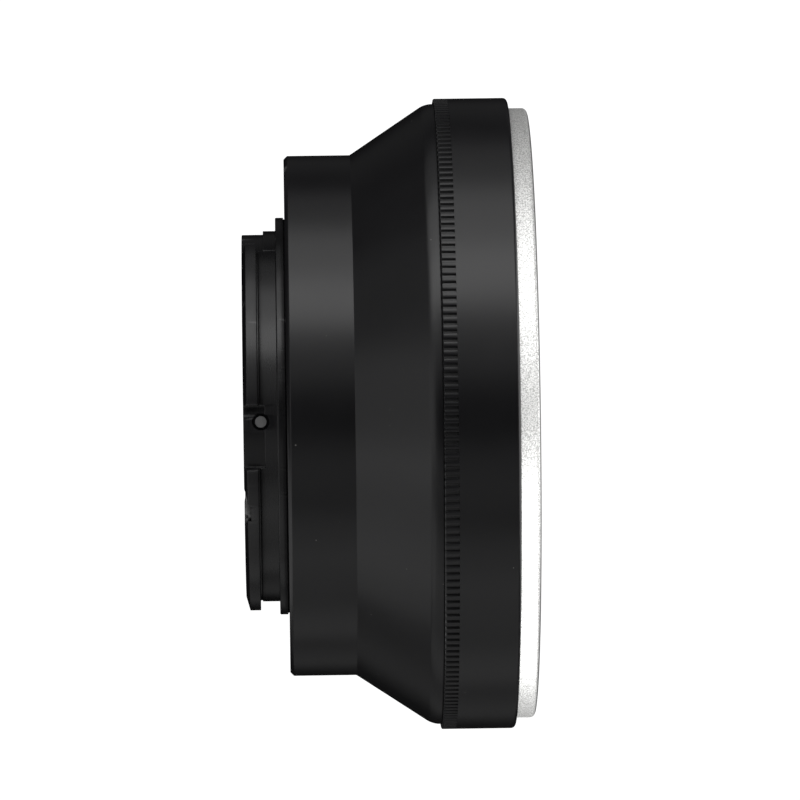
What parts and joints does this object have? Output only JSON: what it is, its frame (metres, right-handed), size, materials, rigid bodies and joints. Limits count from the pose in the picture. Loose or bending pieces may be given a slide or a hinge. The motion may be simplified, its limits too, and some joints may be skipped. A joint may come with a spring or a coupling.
{
  "type": "lens mount adapter",
  "caption": "Black stepped and coned adapter tube with a small male camera bayonet at one end and a wide knurled turning lock ring with a satin chrome front ring at the other.",
  "frame": {"origin": "on the lens axis, in the front face of the lens side, which the adapter stands on", "axes": "+Z along the lens axis towards the camera side; +X points to the locating notch of the seat ring"},
  "size_m": [0.0788, 0.0788, 0.0358],
  "materials": {
    "black_anodised": "satin black anodised",
    "black_bayonet": "satin black anodised",
    "satin_chrome": "bead blasted satin chrome",
    "seat_metal": "fine turned bare metal",
    "screw_steel": "turned steel",
    "pin_steel": "ground steel",
    "spring_steel": "rolled strip",
    "white_paint": "filled paint",
    "red_paint": "filled paint"
  },
  "bodies": {
    "adapter_body": {"body_shell": "black_anodised", "camera_bayonet": "black_bayonet", "bayonet_screws": "screw_steel", "lug_stop_pin": "pin_steel", "seat_ring": "seat_metal", "seat_screws": "screw_steel", "travel_stop_pin": "pin_steel", "friction_spring": "spring_steel", "camera_index_dot": "white_paint"},
    "turning_ring": {"lock_ring": "black_anodised", "wing_ring": "satin_chrome", "wing_ring_screws": "screw_steel", "ring_index_dot": "red_paint"}
  },
  "joints": [
    {"name": "lock_turn", "type": "hinge", "parent": "adapter_body", "child": "turning_ring", "pos_m": [0, 0, 0], "axis": [0, 0, 1], "range_deg": [0, 50]}
  ]
}
